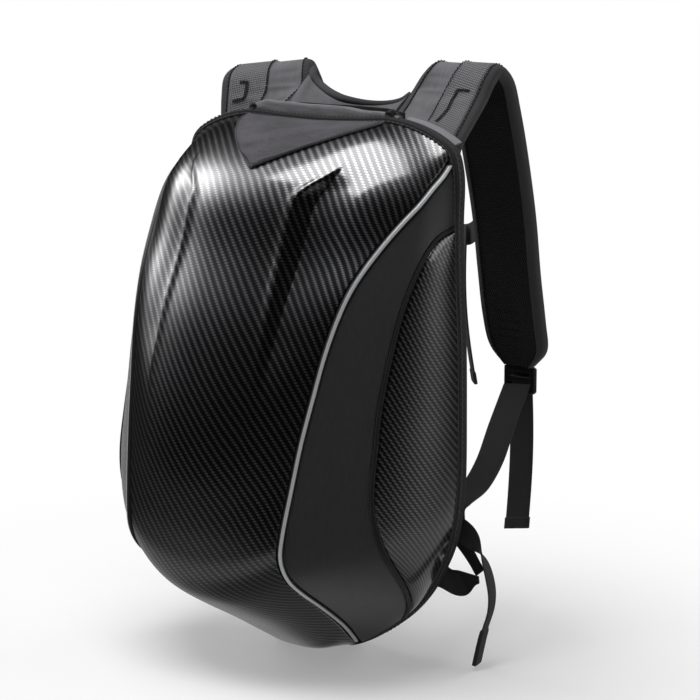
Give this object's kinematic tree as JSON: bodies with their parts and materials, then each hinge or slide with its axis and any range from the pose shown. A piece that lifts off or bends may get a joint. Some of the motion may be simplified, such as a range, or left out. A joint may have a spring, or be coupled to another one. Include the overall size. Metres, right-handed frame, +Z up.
{
  "type": "hard shell backpack",
  "caption": "Backpack with a moulded carbon-look front shell, cloth gussets, moulded side panels, piped seams, a padded back and padded shoulder straps.",
  "frame": {"origin": "middle of the flat base under the shell, on the floor the pack stands on", "axes": "+Z up, -Y towards the front of the shell, +Y towards the wearer, +X to the right as seen from the front"},
  "size_m": [0.3575, 0.3507, 0.5274],
  "materials": {
    "carbon_film": "satin",
    "smooth_cloth": "matte",
    "silver_piping": "satin",
    "black_piping": "matte",
    "binding_tape": "matte",
    "air_mesh": "matte",
    "grey_cloth": "matte",
    "ballistic_nylon": "matte",
    "webbing": "matte",
    "buckle_acetal": "satin"
  },
  "bodies": {
    "root": {"front_shell": "carbon_film", "side_panel_right": "carbon_film", "side_panel_left": "carbon_film", "gusset_right": "smooth_cloth", "gusset_left": "smooth_cloth", "hip_wing_right": "smooth_cloth", "hip_wing_left": "smooth_cloth", "piping_right": "silver_piping", "piping_left": "silver_piping", "seam_piping_right": "black_piping", "seam_piping_left": "black_piping", "edge_binding": "binding_tape", "neck_binding": "binding_tape", "back_panel": "air_mesh", "shoulder_strap_right": "air_mesh", "shoulder_strap_left": "air_mesh", "top_patch": "grey_cloth", "handle": "grey_cloth", "yoke": "grey_cloth", "root_tape_right": "grey_cloth", "root_tape_left": "grey_cloth", "shoulder_patch_right": "ballistic_nylon", "shoulder_patch_left": "ballistic_nylon", "strap_webbing_right": "webbing", "strap_webbing_left": "webbing", "strap_tail_right": "webbing", "strap_tail_left": "webbing", "sternum_webbing_right": "webbing", "sternum_webbing_left": "webbing", "sternum_tail": "webbing", "hip_webbing_right": "webbing", "hip_webbing_left": "webbing", "ladder_buckle_right": "buckle_acetal", "ladder_buckle_left": "buckle_acetal", "sternum_buckle": "buckle_acetal"}
  },
  "joints": []
}
